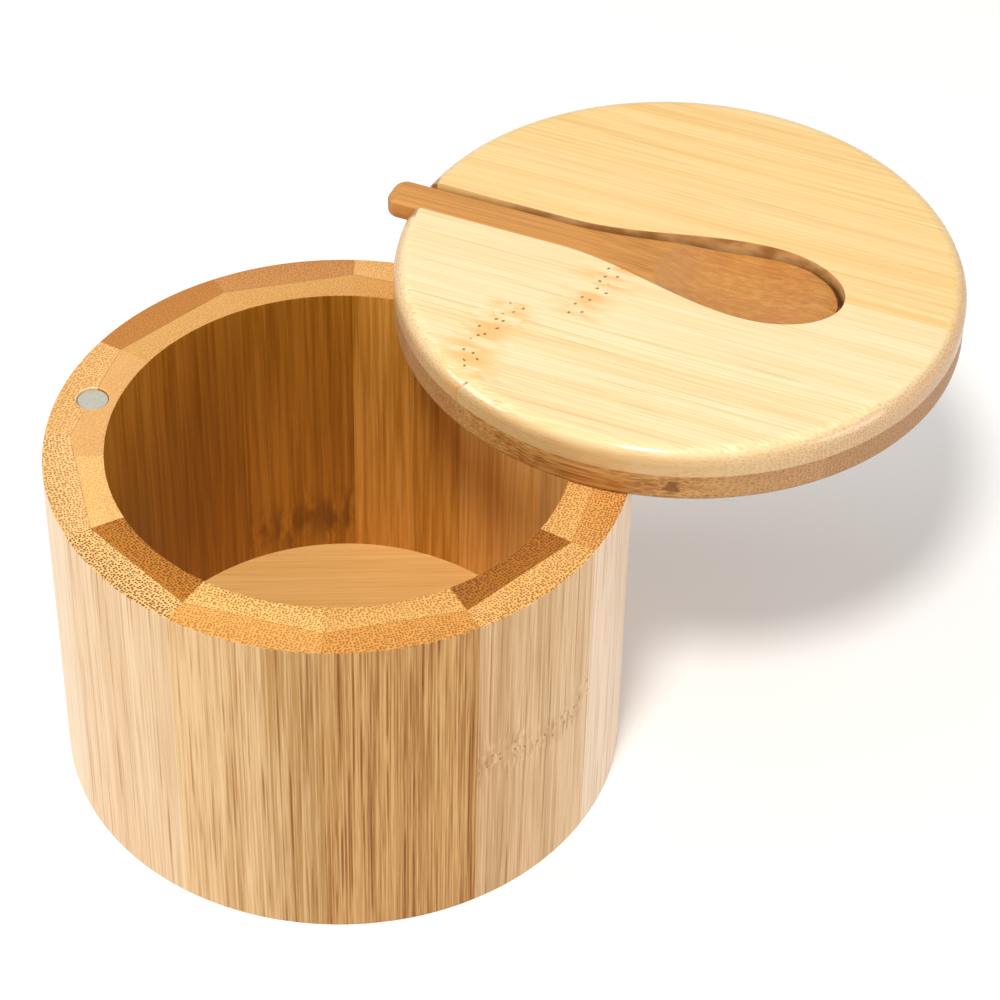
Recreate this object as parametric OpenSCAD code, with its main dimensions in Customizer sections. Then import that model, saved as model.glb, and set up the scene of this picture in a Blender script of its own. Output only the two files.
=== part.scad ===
// Round bamboo salt box with a swivel lid, a magnet catch and a small spoon in a groove in the lid.
// The origin is the middle of the foot, +Z is up, and the pivot pin stands over +X.
// The box stands open: the lid is swung to one side about its pin.

/* [Wall] */
// Outer diameter of the wall
body_d = 89; // [84:1:110]
// Height of the wall
body_h = 59; // [40:1:90]
// Thickness of the outer ply at the middle of a stave
outer_ply = 5.3; // [4.6:0.1:6.5]
// Thickness of the inner ply at the middle of a stave
inner_ply = 4; // [3.6:0.1:5]
// Staves in each ply
stave_count = 12; // [10:1:15]
// Direction of the first joint between staves, from the pin
stave_turn = 4.4; // [4:0.1:8]
// The inner joint that misses its corner, counted from the first
odd_joint_count = 6; // [2:1:8]
// How far that joint lies past its corner, in degrees
odd_joint_turn = 7; // [1:1:15]
// Width of the broken edges at the rim and the foot
edge_break = 0.5; // [0.2:0.1:1]

/* [Floor] */
// Thickness of the floor
floor_t = 4.9; // [3:0.1:8]
// How far the floor reaches out under the wall, from the bore
floor_lap = 5.8; // [5.4:0.1:6.5]
// Strips of bamboo in the floor
floor_strips_count = 4; // [2:1:6]
// Direction of the floor's strips, from the pin
floor_turn = 8; // [0:1:90]

/* [Lid] */
// How far the lid stands past the wall all round
lid_lip = 0.4; // [0:0.1:1.5]
// Thickness of the lid's bottom ply
lid_bottom_t = 4.7; // [4.2:0.1:7]
// Thickness of the lid's top ply, which is also the depth of the spoon's groove
lid_top_t = 4.5; // [4.2:0.1:7]
// Radius of the rounded top edge
lid_round = 2.7; // [1:0.1:3.5]
// Radius of the rounded bottom edge
lid_foot_round = 0.8; // [0.3:0.1:1.5]
// Running gap between the rim and the lid
lid_gap = 0.1; // [0.05:0.05:0.5]
// Full strips of bamboo in the lid's top ply
full_strips_count = 4; // [3:1:5]
// Width of the narrow strip at one edge of the top ply
near_strip_w = 3.6; // [2.5:0.1:8]
// Width of the narrow strip at its other edge
far_strip_w = 5.4; // [2.5:0.1:8]
// How far the lid is swung open, in degrees
lid_open = 104.4; // [0:0.2:180]
// Turn of the lid's grain and groove, from square to the line through the pin
board_turn = -2.2; // [-10:0.2:10]

/* [Pin and catch] */
// Distance from the bore to the axes of the pin and the magnets
catch_inset = 3.9; // [3.6:0.1:4.4]
// Diameter of the pin
pin_d = 4; // [2.5:0.5:5]
// Depth of the pin in the wall
pin_sink = 14; // [8:1:25]
// Diameter of the pin's head, caught between the lid's plies
head_d = 7; // [6:0.5:8]
// Thickness of the pin's head
head_t = 1.4; // [1:0.1:2]
// Running clearance round the pin and its head
pin_play = 0.05; // [0.02:0.01:0.1]
// Diameter of the magnets
magnet_d = 5; // [3:0.5:6]
// Thickness of the magnets
magnet_t = 3; // [2:0.1:3.6]
// How deep the magnets sit below the wood
magnet_sink = 0.3; // [0.1:0.1:0.5]
// Direction of the rim's magnet, from the pin
magnet_turn = 171.6; // [165:0.1:180]

/* [Spoon] */
// Length of the spoon
spoon_len = 75; // [66:1:80]
// How far its handle sticks out past the lid's edge
tip_overhang = 4.5; // [2:0.1:8]
// Width of the handle
handle_w = 6.1; // [5:0.1:8]
// Thickness of the handle
handle_t = 3.8; // [2.8:0.1:4]
// Width of the bowl
bowl_w = 17.7; // [14:0.1:20]
// Length of the bowl's rounded end, from its widest place
bowl_nose = 12.8; // [9:0.1:16]
// Length of the neck, where the handle widens to the bowl
neck_len = 32; // [20:1:34]
// Height of the bowl's rim over its underside
bowl_t = 2.9; // [2:0.1:3.4]
// Depth of the dish in the bowl
dish_depth = 1.4; // [0.6:0.1:1.6]
// Length of the dish
dish_len = 26; // [18:1:28]
// Width of the round cut that makes the dish, which runs out over the bowl's sides
dish_w = 22; // [18:1:30]
// Rounding of the handle's end, seen from above
tip_round = 1.8; // [0.8:0.1:2.2]
// Rounding of its upper edges
spoon_edge = 0.5; // [0.2:0.1:0.8]
// Clearance between the spoon's sides and the groove
spoon_play = 0.5; // [0.3:0.1:1]
// Clearance between the bowl's end and the groove
nose_play = 0.9; // [0.6:0.1:2]
// How far the groove lies off the lid's middle, away from the pin
groove_offset = 0.4; // [0:0.1:2]
// Rounding of the groove's two corners at the lid's edge, seen from above
mouth_round = 1.8; // [0.5:0.1:2.5]
// Gap under the spoon
seat_gap = 0.1; // [0.05:0.05:0.3]

/* [Hidden] */
$fn = 96;
body_r = body_d / 2;
glue_r = body_r - outer_ply;
bore_r = glue_r - inner_ply;
floor_r = bore_r + floor_lap;
pivot_r = bore_r + catch_inset;
lid_r = body_r + lid_lip;
lid_t = lid_bottom_t + lid_top_t;
lid_z = body_h + lid_gap;
stave_step = 360 / stave_count;
over = 1;
strip_w = (2 * lid_r - near_strip_w - far_strip_w) / full_strips_count;
head_pocket = head_t + 2 * lid_gap;
magnet_pocket = magnet_t + magnet_sink;

// Stations along the spoon, and points over, at the edges of and under each one
tip_steps = 4;
neck_steps = 14;
nose_steps = 9;
top_points = 10;
edge_points = 3;
under_points = 14;
ring_points = top_points + 2 * edge_points + under_points;
// The last station is just short of the nose, where the width would be nothing
nose_end = 84;
// How square the underside is at the handle, and how much rounder at the bowl
handle_power = 0.4;
bowl_power = 0.8;

tip_y = -(lid_r + tip_overhang);
bowl_y = tip_y + spoon_len - bowl_nose;
neck_y = bowl_y - neck_len;
dish_y = bowl_y - 0.3 * bowl_nose;

// Tones of the bamboo: light, yellow, pinkish, orange, brown, dark
TONES = ["#ecc285", "#f0c277", "#e3b183", "#dba35f", "#c28c50", "#a9713a"];
OUTER_TONES = [0, 3, 0, 4, 5, 1, 0, 0, 3, 4, 0, 3];
INNER_TONES = [1, 0, 3, 0, 0, 2, 1, 5, 1, 0, 5, 1];
TOP_TONES = ["#f2d49a", "#f3d79c", "#f9e3b2", "#f7e0ae"];
BOTTOM_TONES = ["#cf9f68", "#d3a56d", "#c99963"];
FLOOR_TONES = ["#e6ab63", "#ebb36a"];
STEEL = "#b9bcbd";
MAGNET = "#c0c2bb";
SPOON_WOOD = "#cf9150";

function tone(list, i) = list[i % len(list)];
function two_digits(n) = n < 10 ? str("0", n) : str(n);
function ray(angle, r) = [r * cos(angle), r * sin(angle)];
function smooth(t) = let (u = max(0, min(1, t))) u * u * (3 - 2 * u);

// Joint i of the staves, and the same for the inner ply with its one uneven joint
function joint(i) = stave_turn + i * stave_step;
function inner_joint(i) = joint(i) + (i == odd_joint_count ? odd_joint_turn : 0);

// The glue line between the plies is a polygon with a corner at each joint
function from_flat(angle) = (angle - stave_turn) % stave_step - stave_step / 2;
function glue_point(angle) = ray(angle, glue_r / cos(from_flat(angle)));
function glue_angles(i) = concat(
    [inner_joint(i)],
    inner_joint(i) < joint(i + 1) && joint(i + 1) < inner_joint(i + 1) ? [joint(i + 1)] : [],
    [inner_joint(i + 1)]
);

// Places of the seams across a board of radius r, with its own edges first and last
function strip_edges(r, first, w, count) = concat(
    [-r - over],
    [for (k = [0:count - 1]) first + k * w],
    [r + over]
);

// The bottom ply's seams lie half a strip off the top ply's
first_seam = near_strip_w - lid_r;
floor_strip_w = 2 * floor_r / floor_strips_count;
TOP_EDGES = strip_edges(lid_r, first_seam, strip_w, full_strips_count + 1);
BOTTOM_EDGES = strip_edges(lid_r, first_seam + strip_w / 2, strip_w, full_strips_count);
FLOOR_EDGES = strip_edges(floor_r, floor_strip_w - floor_r, floor_strip_w, floor_strips_count - 1);

// Half widths and places along a spoon outline, from the neck to the end of the nose
function neck_edge(handle, bowl) = [
    for (i = [0:neck_steps])
        let (t = i / neck_steps)
            [handle + (bowl - handle) * smooth(t), neck_y + t * neck_len]
];
function nose_edge(bowl, nose, last) = [
    for (i = [1:nose_steps])
        let (a = last * i / nose_steps)
            [bowl * cos(a), bowl_y + nose * sin(a)]
];

// The whole wall as it comes off the lathe, without its joints
module turned_wall() {
    rotate_extrude()
        polygon([
            [0, 0],
            [body_r - edge_break, 0],
            [body_r, edge_break],
            [body_r, body_h - edge_break],
            [body_r - edge_break, body_h],
            [0, body_h]
        ]);
}

// The space inside the wall, with the rim's inner edge broken
module bore() {
    rotate_extrude()
        polygon([
            [0, floor_t - over],
            [bore_r, floor_t - over],
            [bore_r, body_h - edge_break],
            [bore_r + edge_break + over, body_h + over],
            [0, body_h + over]
        ]);
}

// Holes that the pin and the rim's magnet are pressed into
module wall_holes() {
    translate([pivot_r, 0, body_h - pin_sink])
        cylinder(d = pin_d, h = pin_sink + over);
    rotate([0, 0, magnet_turn])
        translate([pivot_r, 0, body_h - magnet_pocket])
            cylinder(d = magnet_d, h = magnet_pocket + over);
}

module outer_stave(i) {
    color(tone(TONES, tone(OUTER_TONES, i)))
        difference() {
            intersection() {
                turned_wall();
                linear_extrude(body_h)
                    polygon([
                        glue_point(joint(i)),
                        ray(joint(i), body_d),
                        ray(joint(i + 1), body_d),
                        glue_point(joint(i + 1))
                    ]);
            }
            translate([0, 0, -over])
                cylinder(r = floor_r, h = floor_t + over);
            wall_holes();
        }
}

module inner_stave(i) {
    angles = glue_angles(i);
    color(tone(TONES, tone(INNER_TONES, i)))
        difference() {
            translate([0, 0, floor_t])
                linear_extrude(body_h - floor_t)
                    polygon(concat(
                        [for (a = angles) glue_point(a)],
                        [ray(inner_joint(i + 1), bore_r / 2), ray(inner_joint(i), bore_r / 2)]
                    ));
            bore();
            wall_holes();
        }
}

// A slab of the board that lies between two seams, from z = low to z = high
module between(edges, i, r, low, high) {
    translate([edges[i], -r - over, low])
        cube([edges[i + 1] - edges[i], 2 * (r + over), high - low]);
}

module floor_strip(i) {
    color(tone(FLOOR_TONES, i))
        rotate([0, 0, floor_turn - 90])
            intersection() {
                cylinder(r = floor_r, h = floor_t);
                between(FLOOR_EDGES, i, floor_r, 0, floor_t);
            }
}

module magnet() {
    color(MAGNET)
        cylinder(d = magnet_d, h = magnet_t);
}

module rim_magnet() {
    rotate([0, 0, magnet_turn])
        translate([pivot_r, 0, body_h - magnet_pocket])
            magnet();
}

// The head turns in a pocket under the lid's top ply, so the lid can't be lifted off
module pivot_pin() {
    head_z = lid_z + lid_bottom_t - head_pocket + lid_gap;
    color(STEEL)
        translate([pivot_r, 0, 0])
            union() {
                translate([0, 0, body_h - pin_sink])
                    cylinder(d = pin_d, h = pin_sink + head_z - body_h);
                translate([0, 0, head_z])
                    cylinder(d = head_d, h = head_t);
            }
}

// Puts a lid piece, drawn closed with its underside at z = 0, where the open lid has it
module on_open_lid() {
    translate([pivot_r, 0, lid_z])
        rotate([0, 0, -lid_open])
            translate([-pivot_r, 0, 0])
                children();
}

module lid_disc() {
    rotate_extrude() {
        square([lid_r - lid_foot_round, lid_t - lid_round]);
        square([lid_r - lid_round, lid_t]);
        translate([0, lid_foot_round])
            square([lid_r, lid_t - lid_round - lid_foot_round]);
        translate([lid_r - lid_foot_round, lid_foot_round])
            circle(lid_foot_round);
        translate([lid_r - lid_round, lid_t - lid_round])
            circle(lid_round);
    }
}

// The spoon's groove goes right through the top ply and is open at the lid's edge
module groove() {
    handle = handle_w / 2 + spoon_play;
    bowl = bowl_w / 2 + spoon_play;
    mouth_edge = [
        for (a = [90:-15:0])
            [handle + mouth_round * (1 - cos(a)), mouth_round * (1 - sin(a)) - lid_r]
    ];
    edge = concat(
        [[handle + mouth_round, tip_y - over]],
        mouth_edge,
        neck_edge(handle, bowl),
        nose_edge(bowl, bowl_nose + nose_play, 90)
    );
    translate([-groove_offset, 0, lid_bottom_t - over])
        linear_extrude(lid_top_t + 2 * over)
            polygon(concat(edge, [for (i = [len(edge) - 2:-1:0]) [-edge[i].x, edge[i].y]]));
}

module lid_bottom_strip(i) {
    color(tone(BOTTOM_TONES, i))
        difference() {
            rotate([0, 0, board_turn])
                intersection() {
                    lid_disc();
                    between(BOTTOM_EDGES, i, lid_r, 0, lid_bottom_t);
                }
            translate([pivot_r, 0, -over])
                cylinder(r = pin_d / 2 + pin_play, h = lid_bottom_t + 2 * over);
            translate([pivot_r, 0, lid_bottom_t - head_pocket])
                cylinder(r = head_d / 2 + pin_play, h = head_pocket + over);
            rotate([0, 0, magnet_turn])
                translate([pivot_r, 0, -over])
                    cylinder(d = magnet_d, h = magnet_pocket + over);
        }
}

module lid_top_strip(i) {
    color(tone(TOP_TONES, i))
        rotate([0, 0, board_turn])
            difference() {
                intersection() {
                    lid_disc();
                    between(TOP_EDGES, i, lid_r, lid_bottom_t, lid_t);
                }
                groove();
            }
}

module lid_magnet() {
    rotate([0, 0, magnet_turn])
        translate([pivot_r, 0, magnet_sink])
            magnet();
}

// Heights over the spoon's underside: the handle's top falls away to the bowl's rim
function spoon_top(y) = handle_t + (bowl_t - handle_t) * smooth((y - neck_y) / (0.8 * neck_len));
function dish(x, y) = dish_depth * max(
    0,
    1 - pow(x / (dish_w / 2), 2) - pow((y - dish_y) / (dish_len / 2), 2)
);

// How full a section is: the ends round off in height as well as in plan
function fullness(y) = min(
    1,
    0.72 + 0.28 * sqrt(min(1, (y - tip_y) / tip_round)),
    0.6 + 0.4 * sqrt(min(1, (bowl_y + bowl_nose - y) / bowl_t))
);
function root(v, power) = sign(v) * pow(abs(v), power);

// One ring of points round the spoon: over the flat top with its two rounded edges, then back
// under, where the section is squarish at the handle and rounder at the bowl
function upper_edge(flat, side, a) = [flat + spoon_edge * cos(a), side + spoon_edge * sin(a)];
function over_spoon(flat, side, top) = concat(
    [for (i = [0:edge_points - 1]) upper_edge(flat, side, 90 * i / edge_points)],
    [for (i = [0:top_points]) [flat - 2 * flat * i / top_points, top]],
    [
        for (i = [1:edge_points])
            let (corner = upper_edge(flat, side, 90 - 90 * i / edge_points))
                [-corner.x, corner.y]
    ]
);
function under_spoon(half, side, power) = [
    for (i = [1:under_points - 1])
        let (a = 180 + 180 * i / under_points)
            [half * root(cos(a), power), side + side * root(sin(a), power)]
];
function spoon_ring(half, y) =
    let (
        top = spoon_top(y),
        side = top - spoon_edge,
        power = handle_power + (bowl_power - handle_power) * smooth((y - neck_y) / neck_len),
        full = fullness(y)
    )
        concat(
            [
                for (p = over_spoon(half - spoon_edge, side, top))
                    [p.x, y, top / 2 + (p.y - top / 2) * full - dish(p.x, y)]
            ],
            [for (p = under_spoon(half, side, power)) [p.x, y, top / 2 + (p.y - top / 2) * full]]
        );

module spoon() {
    handle = handle_w / 2;
    tip_edge = [
        for (i = [0:tip_steps])
            let (a = 90 * i / tip_steps)
                [handle - tip_round * (1 - sin(a)), tip_y + tip_round * (1 - cos(a))]
    ];
    stations = concat(
        tip_edge,
        neck_edge(handle, bowl_w / 2),
        nose_edge(bowl_w / 2, bowl_nose, nose_end)
    );
    rings = [for (s = stations) each spoon_ring(s.x, s.y)];
    last = len(stations) - 1;
    sides = [
        for (s = [0:last - 1])
            for (j = [0:ring_points - 1])
                let (
                    k = (j + 1) % ring_points,
                    p = s * ring_points,
                    q = p + ring_points
                )
                    each [[p + j, q + j, p + k], [p + k, q + j, q + k]]
    ];
    ends = [
        [for (j = [0:ring_points - 1]) j],
        [for (j = [ring_points - 1:-1:0]) last * ring_points + j]
    ];
    color(SPOON_WOOD)
        rotate([0, 0, board_turn])
            translate([-groove_offset, 0, lid_bottom_t + seat_gap])
                polyhedron(points = rings, faces = concat(sides, ends));
}

for (i = [1:stave_count])
    outer_stave(i - 1);
for (i = [1:stave_count])
    inner_stave(i - 1);
for (i = [1:len(FLOOR_EDGES) - 1])
    floor_strip(i - 1);
rim_magnet();
pivot_pin();
for (i = [1:len(BOTTOM_EDGES) - 1])
    on_open_lid() lid_bottom_strip(i - 1);
for (i = [1:len(TOP_EDGES) - 1])
    on_open_lid() lid_top_strip(i - 1);
on_open_lid() lid_magnet();
on_open_lid() spoon();
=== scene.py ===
"""A round bamboo salt box, its swivel lid and the small spoon that lies in the lid, on a white table."""

import math

import bmesh
import bpy
import numpy as np
from mathutils import Matrix, Vector


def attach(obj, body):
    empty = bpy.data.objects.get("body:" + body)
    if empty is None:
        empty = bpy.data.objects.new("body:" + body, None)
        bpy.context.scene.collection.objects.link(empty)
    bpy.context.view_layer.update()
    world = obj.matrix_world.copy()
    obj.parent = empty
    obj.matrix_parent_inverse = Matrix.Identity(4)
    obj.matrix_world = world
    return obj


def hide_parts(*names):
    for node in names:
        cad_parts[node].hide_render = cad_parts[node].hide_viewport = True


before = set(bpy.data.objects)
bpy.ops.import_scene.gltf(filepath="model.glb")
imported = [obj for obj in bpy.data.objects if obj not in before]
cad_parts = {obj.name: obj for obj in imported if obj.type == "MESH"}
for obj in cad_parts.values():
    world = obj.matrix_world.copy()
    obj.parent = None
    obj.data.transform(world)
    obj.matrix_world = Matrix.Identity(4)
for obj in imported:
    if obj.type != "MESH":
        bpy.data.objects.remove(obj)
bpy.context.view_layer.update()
MM = 0.001
bpy.context.scene.view_settings.view_transform = "Standard"


# Camera
# The photograph is taken from the front, a little left of the pin's side and well above the rim.
# The lens is long, so the wall narrows only a little towards its foot.
camera = bpy.data.objects.new("camera", bpy.data.cameras.new("camera"))
camera.data.sensor_width = 36
camera.data.lens = 116.11
camera.data.clip_start = 0.02
camera.location = (0.05364, -0.35976, 0.38169)
camera.rotation_euler = [math.radians(turn) for turn in (47.4065, -1.0618, 5.6045)]
bpy.context.scene.collection.objects.link(camera)
bpy.context.scene.camera = camera


# Studio
# A white table in a white room. The key lamp hangs high in front, with a broad lamp low on the left
# and a weaker one on the right. Only what is looked at directly or in a reflection is lit up to white,
# and the table's own glow grows with distance, so that it stays white beyond the lamps' reach.
def lamp(name, place, aim, width, strength, tint):
    light = bpy.data.lights.new(name, "AREA")
    light.shape = "DISK"
    light.size = width
    light.energy = strength
    light.color = tint
    held = bpy.data.objects.new(name, light)
    held.location = place
    held.rotation_euler = (Vector(aim) - Vector(place)).to_track_quat("-Z", "Y").to_euler()
    bpy.context.scene.collection.objects.link(held)


lamp("key lamp", (-0.06, -0.48, 1.0), (0.0, 0.0, 0.03), 0.20, 8.4, (1.0, 0.98, 0.95))
lamp("left lamp", (-0.95, -0.2, 0.5), (0.0, 0.0, 0.03), 0.5, 5.6, (1.0, 0.99, 0.97))
lamp("right lamp", (0.95, -0.3, 0.35), (0.0, 0.0, 0.03), 0.5, 3.7, (1.0, 0.99, 0.97))


def lay(tree, kind, *inputs, **settings):
    """Adds a shader node, sets it up, and fills or wires its inputs in their order."""
    node = tree.nodes.new("ShaderNode" + kind)
    for name, value in settings.items():
        setattr(node, name, value)
    for socket, value in zip([s for s in node.inputs if s.enabled], inputs):
        if isinstance(value, bpy.types.NodeSocket):
            tree.links.new(value, socket)
        elif value is not None:
            socket.default_value = value
    return next((s for s in node.outputs if s.enabled), None)


def seen_straight(tree):
    """1 where a surface is looked at, directly, in a reflection or through glass; 0 where it only lights."""
    path = tree.nodes.new("ShaderNodeLightPath")
    looked_at = lay(
        tree, "Math", path.outputs["Is Camera Ray"], path.outputs["Is Glossy Ray"], operation="MAXIMUM"
    )
    return lay(tree, "Math", looked_at, path.outputs["Is Transmission Ray"], operation="MAXIMUM")


room = bpy.data.worlds.new("white room")
bpy.context.scene.world = room
room.use_nodes = True
tree = room.node_tree
tree.nodes.clear()
ambient = lay(tree, "Background", (1.0, 1.0, 1.0, 1.0), 0.32)
backdrop = lay(tree, "Background", (1.0, 1.0, 1.0, 1.0), 1.0)
lay(tree, "OutputWorld", lay(tree, "MixShader", seen_straight(tree), ambient, backdrop))

bpy.ops.object.select_all(action="DESELECT")
bpy.ops.mesh.primitive_plane_add(size=6.0, location=(0, 0, -0.00002))
table = bpy.context.object
table.name = "table"
table_white = bpy.data.materials.new("white table")
table_white.use_nodes = True
tree = table_white.node_tree
tree.nodes.clear()
dull = lay(tree, "BsdfDiffuse", (0.75, 0.75, 0.75, 1.0))
shadow_catcher = lay(tree, "BsdfDiffuse", (0.8, 0.785, 0.77, 1.0))
spot = lay(tree, "TexCoord").node.outputs["Object"]
away = lay(tree, "VectorMath", spot, operation="LENGTH").node.outputs["Value"]
reach = lay(tree, "MapRange", away, 0.3, 1.3, 0.22, 1.0)
glow = lay(tree, "Emission", (1.0, 1.0, 1.0, 1.0), reach)
looked_at = lay(tree, "AddShader", shadow_catcher, glow)
lay(tree, "OutputMaterial", lay(tree, "MixShader", seen_straight(tree), dull, looked_at))
table.data.materials.append(table_white)


# Outer staves
# Twelve bamboo staves, glued edge to edge round a twelve-sided inner ply and turned round outside.
# Their end grain shows on the rim, and the fibres run up the wall.
BODY_R, BODY_H = 44.5 * MM, 59.0 * MM
GLUE_R = 39.2 * MM
FLOOR_R, FLOOR_T = 41.0 * MM, 4.9 * MM
EDGE = 0.5 * MM
# In degrees: how far the first joint stands off the pin, a stave, and one facet of a round face
STAVE_TURN, STAVE_STEP, SEGMENT = 4.4, 30.0, 1.25


def fresh():
    """Leaves edit mode and deselects everything, so that the next operator acts on the new piece alone."""
    if bpy.context.object and bpy.context.object.mode != "OBJECT":
        bpy.ops.object.mode_set(mode="OBJECT")
    bpy.ops.object.select_all(action="DESELECT")


def take(piece):
    fresh()
    piece.select_set(True)
    bpy.context.view_layer.objects.active = piece


def into_edit(piece):
    take(piece)
    bpy.ops.object.mode_set(mode="EDIT")
    bpy.ops.mesh.select_all(action="SELECT")


def turned(outline, start, sweep, name):
    """Lays an outline of (radius, height) points at the start angle and spins it about the box's axis."""
    fresh()
    bpy.ops.mesh.primitive_circle_add(vertices=len(outline), fill_type="NOTHING")
    piece = bpy.context.object
    piece.name = name
    angle = math.radians(start)
    for vertex, (radius, height) in zip(piece.data.vertices, outline):
        vertex.co = (radius * math.cos(angle), radius * math.sin(angle), height)
    into_edit(piece)
    steps = max(1, round(sweep / SEGMENT))
    bpy.ops.mesh.spin(steps=steps, angle=-math.radians(sweep), center=(0, 0, 0), axis=(0, 0, 1))
    bpy.ops.mesh.select_all(action="SELECT")
    if sweep < 360:
        bpy.ops.mesh.fill_holes(sides=0)
    else:
        bpy.ops.mesh.remove_doubles(threshold=1e-6)
    bpy.ops.mesh.select_all(action="SELECT")
    bpy.ops.mesh.normals_make_consistent(inside=False)
    return piece


def saw(piece, point, normal, keep_front):
    """Cuts the piece along a plane and closes the cut."""
    into_edit(piece)
    bpy.ops.mesh.bisect(
        plane_co=point, plane_no=normal, use_fill=True, clear_inner=keep_front, clear_outer=not keep_front
    )


def drill(piece, cutter):
    """Cuts the cutter's shape out of the piece and keeps the cutter for the next one."""
    take(piece)
    cut = piece.modifiers.new("hole", "BOOLEAN")
    cut.operation = "DIFFERENCE"
    cut.solver = "EXACT"
    cut.object = cutter
    bpy.ops.object.modifier_apply(modifier=cut.name)


def sanded(piece):
    """Shades the piece smooth, with its flat faces left flat."""
    take(piece)
    bpy.ops.object.shade_smooth_by_angle(angle=math.radians(35))
    flat = piece.modifiers.new("flat faces", "WEIGHTED_NORMAL")
    flat.keep_sharp = True
    flat.weight = 90
    bpy.ops.object.modifier_apply(modifier=flat.name)


def mark_grain(piece, middle, across, depth, along):
    """Stores where each point lies in its strip, in millimetres, and how far it faces along the fibres."""
    mesh = piece.data
    axes = np.array([across, depth, along], float)
    points = np.empty(len(mesh.vertices) * 3, np.float32)
    mesh.vertices.foreach_get("co", points)
    local = (points.reshape(-1, 3) - np.array(middle, float)) @ axes.T / MM
    grain = mesh.attributes.new("grain", "FLOAT_VECTOR", "POINT")
    grain.data.foreach_set("vector", local.astype(np.float32).ravel())
    normals = np.empty(len(mesh.loops) * 3, np.float32)
    mesh.corner_normals.foreach_get("vector", normals)
    facing = np.abs(normals.reshape(-1, 3) @ axes[2])
    end = mesh.attributes.new("end", "FLOAT", "CORNER")
    end.data.foreach_set("value", facing.astype(np.float32))


def group_with(name, inputs, outputs):
    """A new shader node group with these inputs (name, kind, value) and outputs (name, kind)."""
    tree = bpy.data.node_groups.new(name, "ShaderNodeTree")
    for label, kind, value in inputs:
        socket = tree.interface.new_socket(name=label, in_out="INPUT", socket_type="NodeSocket" + kind)
        socket.default_value = value
    for label, kind in outputs:
        tree.interface.new_socket(name=label, in_out="OUTPUT", socket_type="NodeSocket" + kind)
    given = tree.nodes.new("NodeGroupInput").outputs
    result = tree.nodes.new("NodeGroupOutput").inputs
    return tree, given, result


def calc(tree, operation, *values):
    """A Math node with this operation on the values."""
    return lay(tree, "Math", *values, operation=operation)


def scaled(tree, vector, size):
    return lay(tree, "VectorMath", vector, size, operation="MULTIPLY")


def ramp(tree, value, low, high, to_low=0.0, to_high=1.0):
    """A soft step of a value from low to high."""
    return lay(tree, "MapRange", value, low, high, to_low, to_high, interpolation_type="SMOOTHSTEP")


def mixed(tree, share, first, second, blend="MIX"):
    return lay(tree, "Mix", share, first, second, data_type="RGBA", blend_type=blend)


def noise(tree, vector, detail, rough=0.5):
    return lay(tree, "TexNoise", vector, 1.0, detail, rough, noise_dimensions="3D")


def colour(code):
    """A written sRGB colour as the shader wants it."""
    parts = [int(code[i : i + 2], 16) / 255 for i in (1, 3, 5)]
    return [c / 12.92 if c <= 0.04045 else ((c + 0.055) / 1.055) ** 2.4 for c in parts] + [1.0]


# A culm's joint leaves a band where the fibres weave, stained clouds, and two rows of dark bundle ends
BUNDLE_PITCH, ROW_PITCH = 2.1, 5.3
culm_joint, given, result = group_with(
    "culm joint",
    [("Place", "Vector", (0, 0, 0)), ("At", "Float", 0.0), ("Width", "Float", 6.0), ("Seed", "Float", 0.0)],
    [("Bend", "Float"), ("Stain", "Float"), ("Dots", "Float")],
)
tree = culm_joint
apart = lay(tree, "SeparateXYZ", given["Place"]).node.outputs
x, z = apart[0], apart[2]
slow = noise(tree, scaled(tree, given["Place"], (0.12, 0.2, 0.02)), 1.0)
off = calc(tree, "ADD", calc(tree, "SUBTRACT", z, given["At"]), ramp(tree, slow, 0.3, 0.7, -1.6, 1.6))
off_far = calc(tree, "ABSOLUTE", off)
band = ramp(tree, calc(tree, "DIVIDE", off_far, given["Width"]), 0.0, 1.0, 1.0, 0.0)
wave = noise(tree, scaled(tree, given["Place"], (0.7, 0.7, 0.25)), 1.0)
tree.links.new(calc(tree, "MULTIPLY", band, ramp(tree, wave, 0.25, 0.75, -0.45, 0.45)), result["Bend"])
clouds = noise(tree, scaled(tree, given["Place"], (0.42, 0.42, 0.13)), 2.0, 0.45)
tree.links.new(calc(tree, "MULTIPLY", band, ramp(tree, clouds, 0.42, 0.62)), result["Stain"])
column = calc(tree, "DIVIDE", x, BUNDLE_PITCH)
row = calc(tree, "MULTIPLY", calc(tree, "SIGN", off), ROW_PITCH)
bundle = lay(tree, "CombineXYZ", calc(tree, "FLOOR", column), row, given["Seed"])
chance = lay(tree, "TexWhiteNoise", bundle, noise_dimensions="3D").node.outputs["Color"]
chance = lay(tree, "SeparateColor", chance).node.outputs
beside = calc(tree, "MULTIPLY", calc(tree, "SUBTRACT", calc(tree, "FRACT", column), 0.5), BUNDLE_PITCH)
beside = calc(tree, "ADD", beside, ramp(tree, chance[0], 0.0, 1.0, -0.5, 0.5))
above = calc(tree, "ADD", off_far, ramp(tree, chance[1], 0.0, 1.0, -1.3, -0.4))
gap = lay(tree, "VectorMath", lay(tree, "CombineXYZ", beside, above, 0.0), operation="LENGTH")
gap = gap.node.outputs["Value"]
present = ramp(tree, chance[2], 0.15, 0.4)
tree.links.new(calc(tree, "MULTIPLY", present, ramp(tree, gap, 0.13, 0.34, 1.0, 0.0)), result["Dots"])

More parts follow.
